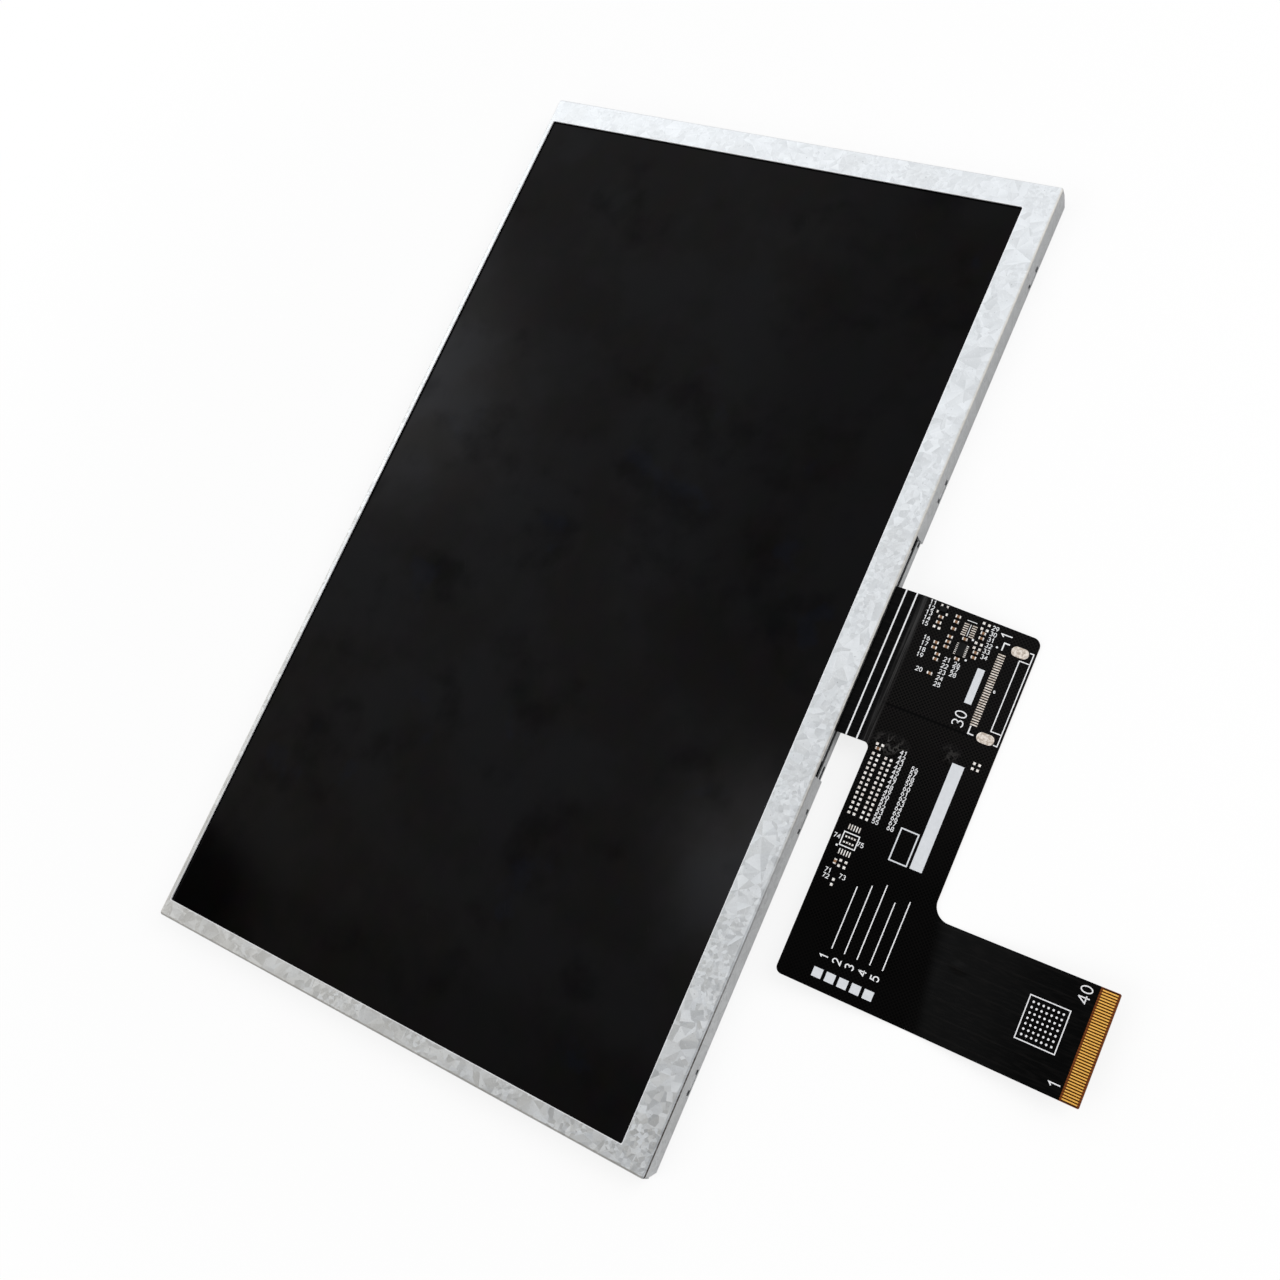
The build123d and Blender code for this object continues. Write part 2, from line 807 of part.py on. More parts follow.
# Small packages and their leads.
bias_seat = on_body(bias_step, bias_reach)
switch_seat = on_body(switch_step, switch_reach)
packages = [
    bias_seat * plate(bias_length, bias_width, bias_height),
    switch_seat * plate(switch_length, switch_width, switch_height),
]
leads = []
bias_lead = plate(bias_lead_width, bias_lead_length, lead_sheet)
for side in (-1, 1):
    for i in range(bias_lead_count):
        x = (i - (bias_lead_count - 1) / 2) * bias_lead_pitch
        y = side * (bias_width + bias_lead_length) / 2
        leads.append(bias_seat * Pos(x, y, 0) * bias_lead)
switch_lead = plate(switch_lead_length, switch_lead_width, lead_sheet)
for side, spread in ((1, switch_lead_near), (-1, switch_lead_far)):
    for end in (-1, 1):
        x = side * (switch_length + switch_lead_length) / 2
        leads.append(switch_seat * Pos(x, end * spread / 2, 0) * switch_lead)

nodes = {
    "front_bezel": bezel,
    "rear_cover": cover,
    "moulded_frame": frame,
    "front_polarizer": front_polarizer,
    "filter_glass": filter_glass,
    "array_glass": array_glass,
    "rear_polarizer": rear_polarizer,
    "source_drivers": source_drivers,
    "gate_driver": gate_driver,
    "rim_tape": tape,
    "upper_diffuser": upper_diffuser,
    "upper_prism": upper_prism,
    "lower_prism": lower_prism,
    "lower_diffuser": lower_diffuser,
    "light_guide": guide,
    "reflector": reflector,
    "lamp_strip": strip,
    "lamps": lamps,
    "flex_core": core,
    "flex_upper_cover": upper_cover,
    "flex_lower_cover": lower_cover,
    "finger_stiffener": stiffener,
    "contact_fingers": fingers,
    "connector_lands": connector_lands,
    "anchor_lands": anchors,
    "square_lands": square_lands,
    "memory_lands": memory_lands,
    "converter_lands": converter_lands,
    "chip_parts": chips,
    "chip_ends": chip_ends,
    "small_packages": packages,
    "package_leads": leads,
}
for name, shape in nodes.items():
    solids = []
    for piece in shape if isinstance(shape, list) else [shape]:
        solids.extend(piece.solids())
    export_step(Compound(children=solids) if len(solids) > 1 else solids[0], f"parts/{name}.step")
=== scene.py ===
"""Finish, white print, camera and light for a flat display module with a bent flexible circuit."""

from math import cos, radians, sin, tau

import bpy
from mathutils import Euler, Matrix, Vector


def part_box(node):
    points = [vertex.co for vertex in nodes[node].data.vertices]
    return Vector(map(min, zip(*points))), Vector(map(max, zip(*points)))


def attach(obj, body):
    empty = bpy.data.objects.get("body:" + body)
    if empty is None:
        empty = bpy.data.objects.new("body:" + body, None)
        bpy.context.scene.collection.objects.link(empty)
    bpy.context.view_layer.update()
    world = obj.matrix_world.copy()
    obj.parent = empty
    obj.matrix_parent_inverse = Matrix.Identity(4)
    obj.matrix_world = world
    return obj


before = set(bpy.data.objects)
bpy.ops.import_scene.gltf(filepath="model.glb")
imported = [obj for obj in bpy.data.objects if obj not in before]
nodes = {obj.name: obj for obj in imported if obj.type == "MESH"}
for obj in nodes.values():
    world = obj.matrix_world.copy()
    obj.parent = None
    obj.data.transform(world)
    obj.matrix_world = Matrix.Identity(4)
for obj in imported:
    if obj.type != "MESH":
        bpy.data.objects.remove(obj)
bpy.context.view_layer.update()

# Sizes are in millimetres unless a comment says otherwise, and MM turns them into the scene's metres.
MM = 0.001


def in_mm(node):
    """A node's lowest and highest corner in millimetres."""
    low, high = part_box(node)
    return low / MM, high / MM


# Camera at the photograph's angle: place, turn in degrees, focal length, shift in shares of the frame, and
# the least distance that it shows.
camera_place = (-58.99, -160.95, 281.2)
camera_turn = (20.104, 21.009, -64.262)
camera_lens = 43.09
camera_shift = (-0.0124, -0.0139)
camera_near = 10

# Floor: half its width, how far it lies below the part, and its colour to the camera and to other rays.
floor_half = 6000
floor_drop = 0.05
floor_white = (0.98, 0.98, 0.98)
floor_tone = (0.5, 0.5, 0.5)

# Share of the floor that glows white: to the camera by the distance from a middle, and in reflections by X.
glow_middle = (0, -30, 0)
glow_reach = (110, 280)
glow_share = (0.8, 1.0)
gleam_reach = (-20, 60)
gleam_share = (0.15, 0.03)

# Level of the studio as plain light. In reflections: its level where X is 0, its rise toward +X with a
# least and a most, and its factor toward +Y, which is even up to a start.
ambient_level = 0.55
studio_level = 0.66
studio_rise = 0.88
studio_least = 0.3
studio_most = 1.1
back_level = 0.77
back_rise = 0.6
back_start = 0.3

# Tint of the studio in reflections, from cool to warm by how far +Y outweighs +X.
white = (1, 1, 1)
cool_white = (0.945, 0.972, 1.0)
warm_white = (1.0, 0.95, 0.86)
warm_reach = (0.45, 0.8)

# Soft panels of the studio that only reflections show: direction in X and Y, half width, half height, gain
# and the soft share of the radius.
studio_panels = (
    (0.25, 0.66, 0.14, 0.13, 2.4, 0.9),
    (0.047, 0.345, 0.09, 0.075, 2.4, 0.9),
    (-0.12, 0.625, 0.055, 0.037, -0.95, 0.12),
    (-0.02, -0.05, 0.2, 0.27, -0.8, 0.5),
)

# Soft lamps: name, place and size in metres, and power in watts.
studio_lamps = (
    ("key_lamp", (0.45, -0.75, 0.8), 0.8, 7.0),
    ("fill_lamp", (-0.8, 0.5, 0.9), 0.9, 3.0),
)

# Bezel and screen, and how far the bezel laps over the screen's edge.
bezel_low, bezel_high = in_mm("front_bezel")
screen_low, screen_high = in_mm("front_polarizer")
bezel_lap = 0.4

# Film: where its neck ends at a crease, where its tail starts to rise and how much that line slants, a
# groove along Y, and the steps of the mesh and the tracks that show through it.
neck_end = bezel_low.y - 6.2
tail_start = neck_end - 26.0
tail_slant = 0.2
groove_x = -7.4
mesh_step = 0.55
track_step = 3.1

# Crumpled spots of the film, which carry bumps and painted glints: place, stretch, reach of the full and of
# the last crumple, and share.
film_crumples = (
    ((-14.6, -74.0, 0), (1, 0.6, 0), 0.8, 2.6, 1),
    ((-12.1, -84.8, 0), (1, 1, 0), 0.3, 2.4, 0.6),
)

# Dent of the film: place, stretch and reach.
film_dent = ((-47.8, -100.9, 0), (1, 0.5, 0), 1.4)

# Contact rows at one step: the fingers on the tail and the connector lands on the body.
contact_step = 0.5
finger_count = 40
finger_low, finger_high = in_mm("contact_fingers")
finger_middle = (finger_low.x + finger_high.x) / 2
finger_row = (finger_low.y + finger_high.y) / 2
finger_start = finger_middle - (finger_count - 1) * contact_step / 2
land_count = 30
land_low, land_high = in_mm("connector_lands")
land_middle = (land_low.x + land_high.x) / 2
land_row = (land_low.y + land_high.y) / 2
land_start = land_middle - (land_count - 1) * contact_step / 2

# White print: thickness, widths of lines, heights of digits, advance and width of a digit in shares of its
# height, and size of dots.
ink_height = 0.02
fine_line = 0.2
plain_line = 0.26
bold_line = 0.3
pin_line = 0.22
part_line = 0.13
pin_digit = 2.05
option_digit = 1.5
part_digit = 0.82
digit_advance = 0.86
digit_width = 0.6
mark_dot = 0.42

# Lines across the neck, by their distance from the bezel.
neck_line_reaches = (2.15, 4.41)

# Connector outline: depths of its near and far side below the row's middle, how far its far side runs past
# the row, the length of that side's ends, and the inset of its near side.
outline_near = 3.32
outline_far = 5.35
outline_past = 2.1
outline_end = 0.75
outline_inset = 0.2

# Corner marks of the connector: drop from the row's top, height, width, and reach past each end of the row.
# Then the drop of a dot from the row's middle.
mark_drop = 0.3
mark_tall = 1.05
mark_wide = 1.55
mark_past_high = 2.25
mark_past_low = 1.7
row_dot_drop = 1.24

# Fields of print, each as lowest and highest X and lowest and highest Y, and the dots along each side of
# the code frame.
row_field = (land_low.x + 3.55, land_low.x + 10.7, land_high.y + 1.1, land_high.y + 2.5)
wide_field = (-34.65, -13.35, -88.1, -85.75)
open_field = (-34.6, -28.3, -85.1, -81.75)
code_frame = (-55.1, -47.2, -121.7, -114.3)
code_dots = 7

# Check squares in a column, each with its number and a write-in line of one of three lengths.
option_count = 5
option_top = -77.64
option_step = 2.45
option_square = 1.8
option_square_x = -59.75
option_number_x = -55.6
option_line_x = -53.8
option_line_drop = 0.75
option_line_ends = (-41.5, -40.3, -39.1)

# Runs of small plain numbers beside the parts: first X, Y, step along X, how many, and the first number.
# Then dots and a short line beside the parts.
number_runs = (
    (14.4, -71.2, -1.1, 5, 11),
    (7.4, -72.6, -1.2, 4, 16),
    (1.15, -73.5, -1.0, 1, 20),
    (4.7, -77.7, -1.28, 5, 21),
    (4.5, -79.7, -1.05, 3, 26),
    (13.7, -83.8, -1.2, 6, 29),
    (-15.1, -76.9, -1.0, 15, 41),
    (-17.2, -79.9, -1.0, 13, 56),
    (-40.8, -72.3, -1.1, 2, 71),
    (-41.0, -75.2, -1.1, 1, 73),
    (-34.2, -71.4, -1.1, 1, 74),
    (-34.2, -76.0, -1.1, 1, 75),
)
part_dots = ((5.9, -80.9), (10.1, -80.7), (10.4, -85.3), (2.2, -87.9))
part_mark = ((13.4, -80.3), (13.4, -78.4))

# Outline round the memory footprint: half its width, reach past the lands, and the offset of its dot.
memory_half = 1.32
memory_past = 0.35
memory_dot = (-1.6, 0.75)


class Nodes:
    """Adds nodes to one node tree and links them."""

    def __init__(self, tree):
        self.tree = tree

    def join(self, socket, value):
        """Links an output to a socket, or sets the socket's own value."""
        if isinstance(value, bpy.types.NodeSocket):
            self.tree.links.new(value, socket)
        elif socket.type == "RGBA":
            socket.default_value = (*value, 1)
        else:
            socket.default_value = value

    def place(self, output):
        """Texture coordinates of one kind."""
        return self.tree.nodes.new("ShaderNodeTexCoord").outputs[output]

    def path(self, output):
        """Whether a ray is of one kind."""
        return self.tree.nodes.new("ShaderNodeLightPath").outputs[output]

    def mirrored(self):
        """Whether a ray comes from a reflection or through glass."""
        return self.sums("MAXIMUM", self.path("Is Glossy Ray"), self.path("Is Transmission Ray"))

    def part(self, vector, axis):
        """One component of a vector or a colour."""
        node = self.tree.nodes.new("ShaderNodeSeparateXYZ")
        self.join(node.inputs["Vector"], vector)
        return node.outputs[axis]

    def sums(self, operation, a, b=0.0):
        """Arithmetic on one number or two."""
        node = self.tree.nodes.new("ShaderNodeMath")
        node.operation = operation
        self.join(node.inputs[0], a)
        self.join(node.inputs[1], b)
        return node.outputs["Value"]

    def product(self, first, *others):
        """Numbers multiplied together."""
        for other in others:
            first = self.sums("MULTIPLY", first, other)
        return first

    def off(self, value, middle):
        """How far a number lies from a middle."""
        return self.sums("ABSOLUTE", self.sums("SUBTRACT", value, middle))

    def vectors(self, operation, a, b, output="Vector"):
        """Arithmetic on two vectors."""
        node = self.tree.nodes.new("ShaderNodeVectorMath")
        node.operation = operation
        self.join(node.inputs[0], a)
        self.join(node.inputs[1], b)
        return node.outputs[output]

    def apart(self, vector, point, stretch=(1, 1, 0)):
        """Distance from a point, in plan unless stretched otherwise."""
        away = self.vectors("SUBTRACT", vector, point)
        return self.vectors("DISTANCE", self.vectors("MULTIPLY", away, stretch), (0, 0, 0), "Value")

    def spread(self, value, start, end, low, high):
        """A number carried smoothly from one range to another."""
        node = self.tree.nodes.new("ShaderNodeMapRange")
        node.interpolation_type = "SMOOTHSTEP"
        self.join(node.inputs["Value"], value)
        for socket, number in zip(("From Min", "From Max", "To Min", "To Max"), (start, end, low, high)):
            node.inputs[socket].default_value = number
        return node.outputs["Result"]

    def between(self, share, a, b):
        """Number between two numbers."""
        node = self.tree.nodes.new("ShaderNodeMix")
        self.join(node.inputs[0], share)
        self.join(node.inputs[2], a)
        self.join(node.inputs[3], b)
        return node.outputs[0]

    def mix(self, share, a, b):
        """Colour between two colours."""
        node = self.tree.nodes.new("ShaderNodeMix")
        node.data_type = "RGBA"
        self.join(node.inputs[0], share)
        self.join(node.inputs[6], a)
        self.join(node.inputs[7], b)
        return node.outputs[2]

    def blend(self, share, a, b):
        """Shader between two shaders."""
        node = self.tree.nodes.new("ShaderNodeMixShader")
        self.join(node.inputs[0], share)
        self.join(node.inputs[1], a)
        self.join(node.inputs[2], b)
        return node.outputs[0]


class Finish(Nodes):
    """A node material under construction. Its textures are laid in millimetres of the part's own frame."""

    def __init__(self, name, **sockets):
        self.material = bpy.data.materials.new(name)
        self.material.use_nodes = True
        super().__init__(self.material.node_tree)
        self.shader = self.tree.nodes["Principled BSDF"]
        self.mm = self.scaled(self.place("Object"), (1 / MM, 1 / MM, 1 / MM))
        self.set(**sockets)

    def set(self, **sockets):
        """Sets or links sockets of the shader, named with underscores for spaces."""
        for name, value in sockets.items():
            self.join(self.shader.inputs[name.replace("_", " ")], value)

    def scaled(self, vector, scale, turn=(0, 0, 0)):
        """Coordinates turned, in degrees, and then scaled."""
        node = self.tree.nodes.new("ShaderNodeMapping")
        node.vector_type = "TEXTURE"
        self.join(node.inputs["Vector"], vector)
        node.inputs["Scale"].default_value = [1 / s for s in scale]
        node.inputs["Rotation"].default_value = [radians(a) for a in turn]
        return node.outputs["Vector"]

    def noise(self, size, detail=3, vector=None, colour=False):
        """Noise whose features are about as large as size."""
        node = self.tree.nodes.new("ShaderNodeTexNoise")
        self.join(node.inputs["Vector"], vector or self.mm)
        node.inputs["Scale"].default_value = 1 / size
        node.inputs["Detail"].default_value = detail
        return node.outputs["Color" if colour else "Fac"]

    def uneven(self, size, detail, low, high):
        """A number that wanders between two values over features of a size."""
        return self.spread(self.noise(size, detail), 0.3, 0.7, low, high)

    def cells(self, size, vector=None, output="Color"):
        """Cells about as large as size."""
        node = self.tree.nodes.new("ShaderNodeTexVoronoi")
        self.join(node.inputs["Vector"], vector or self.mm)
        node.inputs["Scale"].default_value = 1 / size
        return node.outputs[output]

    def shards(self, size, count, vector):
        """A random colour for each sector round the middle of each cell, and the way across the sector."""
        cell = self.cells(size, vector)
        away = self.vectors("SUBTRACT", vector, self.cells(size, vector, "Position"))
        turn = self.sums("ARCTAN2", self.part(away, "Y"), self.part(away, "X"))
        turn = self.sums("ADD", self.sums("DIVIDE", turn, tau), self.part(cell, "X"))
        sector = self.sums("MULTIPLY", self.sums("FRACT", turn), count)
        node = self.tree.nodes.new("ShaderNodeTexWhiteNoise")
        self.join(node.inputs["Vector"], self.vectors("ADD", cell, self.sums("FLOOR", sector)))
        return node.outputs["Color"], self.sums("FRACT", sector)

    def lines(self, period, vector, across="X"):
        """Even bands across one axis, darkest at its zero."""
        node = self.tree.nodes.new("ShaderNodeTexWave")
        node.bands_direction = across
        self.join(node.inputs["Vector"], vector)
        node.inputs["Scale"].default_value = tau / 20 / period
        return node.outputs["Fac"]

    def crowns(self, start):
        """Bands of a contact row along X, brightest at the middle of each contact."""
        return self.lines(contact_step, self.vectors("SUBTRACT", self.mm, (start + contact_step / 2, 0, 0)))

    def bump(self, height, depth, normal=None):
        """Normal of a surface with that height, in depths of so many millimetres."""
        node = self.tree.nodes.new("ShaderNodeBump")
        node.inputs["Strength"].default_value = 1.0
        node.inputs["Distance"].default_value = depth * MM
        self.join(node.inputs["Height"], height)
        if normal:
            self.join(node.inputs["Normal"], normal)
        return node.outputs["Normal"]

    def tilt(self, colour, amount):
        """Normal leaned at random by a colour that differs from facet to facet."""
        plain = self.tree.nodes.new("ShaderNodeNewGeometry").outputs["Normal"]
        centred = self.vectors("SUBTRACT", colour, (0.5, 0.5, 0.5))
        lean = self.vectors("MULTIPLY", centred, (amount, amount, amount))
        return self.vectors("NORMALIZE", self.vectors("ADD", plain, lean), (0, 0, 0))


def zinc_crystals(f, slant):
    """Colour of each crystal sector and the way across it, in three sizes, boldest near one corner."""
    star, star_way = f.shards(5.0, 8, slant)
    chip, chip_way = f.shards(2.6, 5, slant)
    crumb, crumb_way = f.shards(1.3, 4, slant)
    pick = f.cells(6.5, slant)
    small = f.spread(f.part(pick, "X"), 0.4, 0.41, 0, 1)
    finest = f.spread(f.part(pick, "Y"), 0.55, 0.56, 0, 1)
    grain = f.mix(small, star, f.mix(finest, chip, crumb))
    way = f.between(small, star_way, f.between(finest, chip_way, crumb_way))
    boldness = f.spread(f.apart(f.mm, (bezel_low.x, bezel_low.y, 0)), 12, 60, 0.6, 0.45)
    return f.mix(boldness, (0.5, 0.5, 0.5), grain), way


def zinc_colour(f, slant, grain, way):
    """Pale crystals with bright feathers and edges, dull patches and dark specks."""
    shade = f.sums("ADD", f.part(grain, "X"), f.product(f.sums("SUBTRACT", way, 0.5), 0.3))
    colour = f.mix(shade, (0.73, 0.74, 0.745), (0.92, 0.93, 0.94))
    feather = f.noise(0.3, 3, f.scaled(slant, (0.35, 1, 1), (0, 0, 50)))
    colour = f.mix(f.spread(feather, 0.58, 0.7, 0, 0.4), colour, (0.97, 0.98, 0.99))
    edge = f.product(f.spread(way, 0, 0.08, 0.6, 0), f.spread(f.noise(2.5, 2), 0.45, 0.6, 0, 1))
    colour = f.mix(edge, colour, (0.98, 0.985, 0.99))
    dull = f.spread(f.noise(11, 4), 0.5, 0.75, 0, 0.3)
    colour = f.mix(dull, colour, (0.7, 0.7, 0.69))
    speck = f.spread(f.noise(0.45, 2), 0.69, 0.74, 0, 0.5)
    return f.mix(speck, colour, (0.33, 0.33, 0.33))


def bend_marks(f, colour):
    """Along the bezel's low bend: a painted dark shade line toward -X, and a painted cream highlight toward
    +X.
    """
    x = f.part(f.mm, "X")
    # Painted shade: a dark line along the bend toward -X.
    dark_bend_shade = f.spread(f.apart(f.mm, (0, bezel_low.y + 0.05, bezel_high.z - 0.4), (0, 1, 1)), 0.14, 0.36, 1, 0)
    ragged = f.spread(f.noise(0.7, 3), 0.35, 0.6, 0.75, 1)
    dark_bend_shade = f.product(dark_bend_shade, f.spread(x, -85, -40, 1, 0), ragged)
    # Painted highlight: a cream line along the bend toward +X.
    bend = f.spread(f.apart(f.mm, (0, bezel_low.y + 0.2, bezel_high.z - 0.2), (0, 1, 1)), 0.1, 0.4, 1, 0)
    colour = f.mix(f.product(bend, f.spread(x, -60, -20, 0, 0.6)), colour, (0.8, 0.74, 0.64))
    return f.mix(dark_bend_shade, colour, (0.06, 0.045, 0.036))


def window_rim(f):
    """Share of the painted pale highlight along the cut edge round the bezel's window."""
    x = f.part(f.mm, "X")
    y = f.part(f.mm, "Y")
    middle = (screen_low + screen_high) / 2
    half = (screen_high - screen_low) / 2 - Vector((bezel_lap, bezel_lap, 0))
    past_x = f.sums("SUBTRACT", f.off(x, middle.x), half.x)
    past_y = f.sums("SUBTRACT", f.off(y, middle.y), half.y)
    return f.spread(f.sums("MAXIMUM", past_x, past_y), 0.04, 0.2, 0.7, 0)


def zinc_finish(name):
    """Zinc-coated sheet steel: crystals split into sharp sectors that catch the light differently."""
    f = Finish(name)
    slant = f.scaled(f.mm, (1, 1, 1), (35, 25, 0))
    grain, way = zinc_crystals(f, slant)
    # The colour carries a painted shade and a painted highlight along the bezel's low bend.
    colour = bend_marks(f, zinc_colour(f, slant, grain, way))
    # Painted highlight: pale, non-metallic colour along the window's cut edge.
    rim = window_rim(f)
    f.set(Base_Color=f.mix(rim, colour, (0.97, 0.98, 1.0)), Metallic=f.sums("SUBTRACT", 1.0, rim))
    f.set(Roughness=f.spread(f.part(grain, "Y"), 0, 1, 0.28, 0.44))
    f.set(Normal=f.bump(f.noise(0.5, 3), 0.012, f.tilt(grain, 0.2)))
    return f.material


def screen_finish(name):
    """Dark polariser: almost black, with a clear gloss, faint clouds, smudges and fine wipe marks."""
    f = Finish(name)
    x = f.part(f.mm, "X")
    y = f.part(f.mm, "Y")
    wash = f.spread(f.noise(20, 8), 0.35, 0.65, 0, 1)
    tint = f.vectors("MULTIPLY", f.noise(5, 6, colour=True), (0.0024, 0.0021, 0.0022))
    colour = f.mix(f.product(wash, 0.5), tint, (0.0013, 0.0012, 0.0012))
    bloom = f.spread(f.noise(15, 5), 0.64, 0.72, 0, 0.7)
    colour = f.mix(bloom, colour, (0.001, 0.0016, 0.004))
    wipe = f.noise(0.5, 2, f.scaled(f.mm, (0.06, 1, 1), (0, 0, 28)))
    colour = f.mix(f.spread(wipe, 0.76, 0.8, 0, 0.4), colour, (0.007, 0.007, 0.0075))
    smudge = f.spread(f.noise(13, 7), 0.5, 0.76, 1, 0.62)
    # Painted shade in the reflection: the gloss is weaker at the -X end and toward +X, and weaker again
    # toward +X and -Y.
    ends = f.product(f.spread(x, -92, -82, 0.74, 1), f.spread(x, -40, 60, 1, 0.8))
    shaded_low_end = f.product(f.spread(x, -35, 0, 0, 0.26), f.spread(y, -32, -8, 1, 0))
    level = f.spread(wash, 0, 1, 0.115, 0.135)
    gloss = f.product(smudge, ends, f.sums("SUBTRACT", 1.0, shaded_low_end), level)
    f.set(Base_Color=colour, Roughness=f.uneven(30, 2, 0.06, 0.1))
    f.set(Specular_IOR_Level=gloss, Specular_Tint=f.mix(wash, (1.0, 0.93, 0.9), (0.97, 0.96, 1.0)))
    f.set(Normal=f.bump(f.noise(18, 2), 0.012))
    return f.material


def film_relief(f, on_body):
    """Height of what lies under the film: mesh and a groove on the body, tracks elsewhere."""
    x = f.part(f.mm, "X")
    one_way = f.lines(mesh_step, f.scaled(f.mm, (1, 1, 1), (0, 0, 45)))
    other_way = f.lines(mesh_step, f.scaled(f.mm, (1, 1, 1), (0, 0, -45)))
    mesh = f.spread(f.sums("MAXIMUM", one_way, other_way), 0.6, 0.95, 0, 1)
    # The mesh fades toward -X: painted shade that darkens the body's colour there, and its bump fades with
    # it.
    mesh = f.product(mesh, on_body, f.spread(x, -40, -5, 0.35, 1))
    streaks = f.spread(f.noise(0.4, 3, f.scaled(f.mm, (1, 0.004, 1))), 0.42, 0.7, 0, 1)
    track = f.spread(f.lines(track_step, f.mm), 0.97, 0.995, 0, 0.8)
    tracks = f.product(f.sums("ADD", streaks, track), f.between(on_body, 0.3, 0.0))
    groove = f.product(f.spread(f.off(x, groove_x), 0.1, 0.3, 1, 0), on_body)
    return f.sums("SUBTRACT", f.sums("ADD", mesh, tracks), groove)


def film_finish(name):
    """Black cover film: the copper mesh under it shows on the wide part, and the tracks on the tail."""
    f = Finish(name)
    x = f.part(f.mm, "X")
    y = f.part(f.mm, "Y")
    aside = f.sums("SUBTRACT", f.sums("MINIMUM", x, finger_high.x), finger_middle)
    along = f.sums("SUBTRACT", y, f.product(aside, tail_slant))
    on_tail = f.spread(along, tail_start - 2, tail_start + 0.5, 1, 0)
    on_neck = f.spread(y, neck_end - 0.5, neck_end + 0.5, 0, 1)
    on_body = f.sums("SUBTRACT", f.sums("SUBTRACT", 1.0, on_tail), on_neck)
    relief = film_relief(f, on_body)
    colour = f.mix(relief, (0.0003, 0.0003, 0.0003), (0.0068, 0.006, 0.0056))
    # Painted highlight: a pale streaked band along the neck's crease. The crease also shapes the bump
    # below.
    crease = f.spread(f.off(y, neck_end), 0.2, 1.0, 1, 0)
    highlight_strands = f.spread(f.noise(0.22, 2, f.scaled(f.mm, (0.02, 1, 1))), 0.42, 0.66, 0.1, 1)
    colour = f.mix(f.product(crease, highlight_strands), colour, (0.04, 0.039, 0.039))
    crumple = 0.0
    for place, stretch, full, last, share in film_crumples:
        spot = f.spread(f.apart(f.mm, place, stretch), full, last, share, 0)
        crumple = f.sums("MAXIMUM", crumple, spot)
    folds = f.noise(1.9, 3)
    # Painted glints: pale thin lines on the crumpled spots, where the folds cross a middle level.
    painted_glint = f.spread(f.off(folds, 0.52), 0.0, 0.05, 1, 0)
    colour = f.mix(f.product(crumple, painted_glint), colour, (0.042, 0.04, 0.038))
    place, stretch, reach = film_dent
    dent = f.spread(f.apart(f.mm, place, stretch), 0, reach, 1, 0)
    waves = f.sums("ADD", f.product(f.noise(9, 2), 0.5), f.product(crease, 0.3))
    waves = f.sums("ADD", waves, f.product(crumple, folds, 3.5))
    waves = f.sums("ADD", waves, f.product(dent, 0.5))
    # Painted sheen: the gloss is weaker toward -X on the body, and strongest where the tail starts to rise.
    painted_body_sheen = f.spread(x, -40, -5, 0.034, 0.06)
    painted_tail_sheen = f.spread(y, -122, -103, 0.042, 0.092)
    f.set(Base_Color=colour, Specular_IOR_Level=f.between(on_tail, painted_body_sheen, painted_tail_sheen))
    f.set(Roughness=f.uneven(6, 3, 0.24, 0.36))
    f.set(Normal=f.bump(relief, 0.008, f.bump(waves, 0.24)))
    return f.material


def core_finish(name):
    """Amber film with the tracks of the finger row showing through, and dark between the fingers."""
    f = Finish(name, Specular_IOR_Level=0.1, Roughness=0.4)
    bare = f.mix(f.noise(2.5, 3), (0.07, 0.016, 0.004), (0.13, 0.034, 0.008))
    track = f.spread(f.crowns(finger_start), 0.45, 0.7, 0, 1)
    reach = (finger_high.y - finger_low.y) / 2
    beside = f.spread(f.off(f.part(f.mm, "Y"), finger_row), reach - 0.1, reach + 0.1, 1, 0)
    dark = f.mix(beside, bare, (0.006, 0.002, 0.001))
    f.set(Base_Color=f.mix(track, dark, (0.2, 0.055, 0.009)), Normal=f.bump(track, 0.01))
    return f.material


def gilt_finish(name):
    """Gold-plated copper strips: a painted whitish highlight along the middle, with dark flanks."""
    f = Finish(name, Metallic=0.9)
    crown = f.crowns(finger_start)
    gold = f.mix(f.noise(1.3, 3), (0.96, 0.4, 0.04), (1.0, 0.5, 0.06))
    # Painted highlight: a whitish band along the middle of each finger.
    gold = f.mix(f.spread(crown, 0.85, 1, 0, 0.6), gold, (1.0, 0.78, 0.32))
    f.set(Base_Color=f.mix(f.spread(crown, 0.28, 0.6, 1, 0), gold, (0.12, 0.03, 0.005)))
    f.set(Roughness=f.uneven(0.3, 2, 0.24, 0.4))
    f.set(Normal=f.bump(f.noise(0.2, 2), 0.004))
    return f.material


def tin_finish(name, dark, light, row_start=None):
    """Tinned copper land: dull and blotchy, with dark pits, and dark flanks in a row."""
    f = Finish(name, Metallic=0.3)
    colour = f.mix(f.spread(f.noise(0.5, 4), 0.35, 0.65, 0, 1), dark, light)
    pit = f.spread(f.noise(0.3, 2), 0.66, 0.72, 0, 0.85)
    colour = f.mix(pit, colour, (0.1, 0.07, 0.05))
    if row_start is not None:
        colour = f.mix(f.spread(f.crowns(row_start), 0.4, 0.62, 1, 0), colour, (0.03, 0.022, 0.016))
    f.set(Base_Color=colour)
    f.set(Roughness=f.uneven(0.4, 3, 0.38, 0.58))
    f.set(Normal=f.bump(f.noise(0.25, 3), 0.02))
    return f.material


